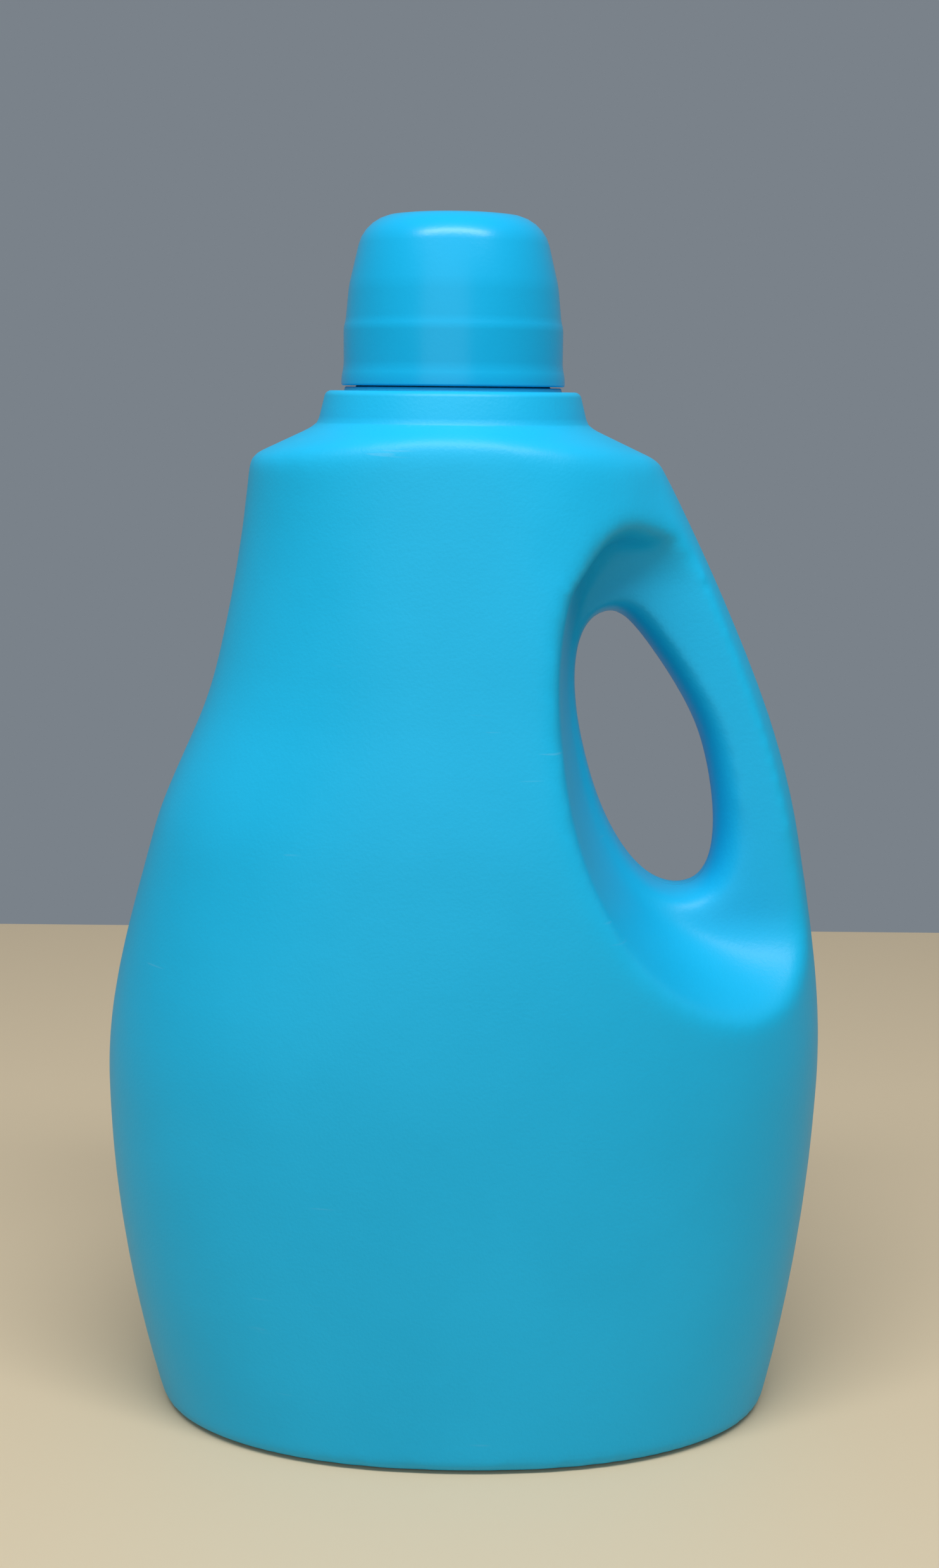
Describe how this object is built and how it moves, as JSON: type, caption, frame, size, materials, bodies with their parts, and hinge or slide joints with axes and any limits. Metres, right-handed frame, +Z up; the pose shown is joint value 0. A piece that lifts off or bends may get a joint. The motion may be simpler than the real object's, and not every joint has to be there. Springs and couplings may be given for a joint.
{
  "type": "handled bottle with dosing cap",
  "caption": "Blow-moulded plastic bottle with a hollow side handle, a stepped collar, a pour spout in the neck and a screw-on dosing cap.",
  "frame": {"origin": "middle of the box round the bottle, on the surface it stands on", "axes": "+Z up along the neck, +X towards the handle, Y through the handle's opening, with the mould's parting plane at y = 0"},
  "size_m": [0.1811, 0.106, 0.2991],
  "materials": {
    "bottle": "satin moulded polyethylene",
    "spout": "satin moulded polyethylene",
    "ring": "soft foam",
    "cap": "half gloss moulded polypropylene"
  },
  "bodies": {
    "bottle_body": {"bottle": "bottle", "pour_spout": "spout"},
    "ring_body": {"sealing_ring": "ring"},
    "cap_body": {"dosing_cap": "cap"}
  },
  "joints": [
    {"name": "cap_lift", "type": "slide", "parent": "bottle_body", "child": "ring_body", "axis": [0, 0, 1], "range_m": [0, 0.036]},
    {"name": "cap_turn", "type": "hinge", "parent": "ring_body", "child": "cap_body", "pos_m": [-0.004, 0, 0.26], "axis": [0, 0, 1], "range_deg": [0, 1440]}
  ],
  "couplings": [
    {"joint": "cap_lift", "follows": "cap_turn", "m_per_rad": 0.0014323}
  ]
}
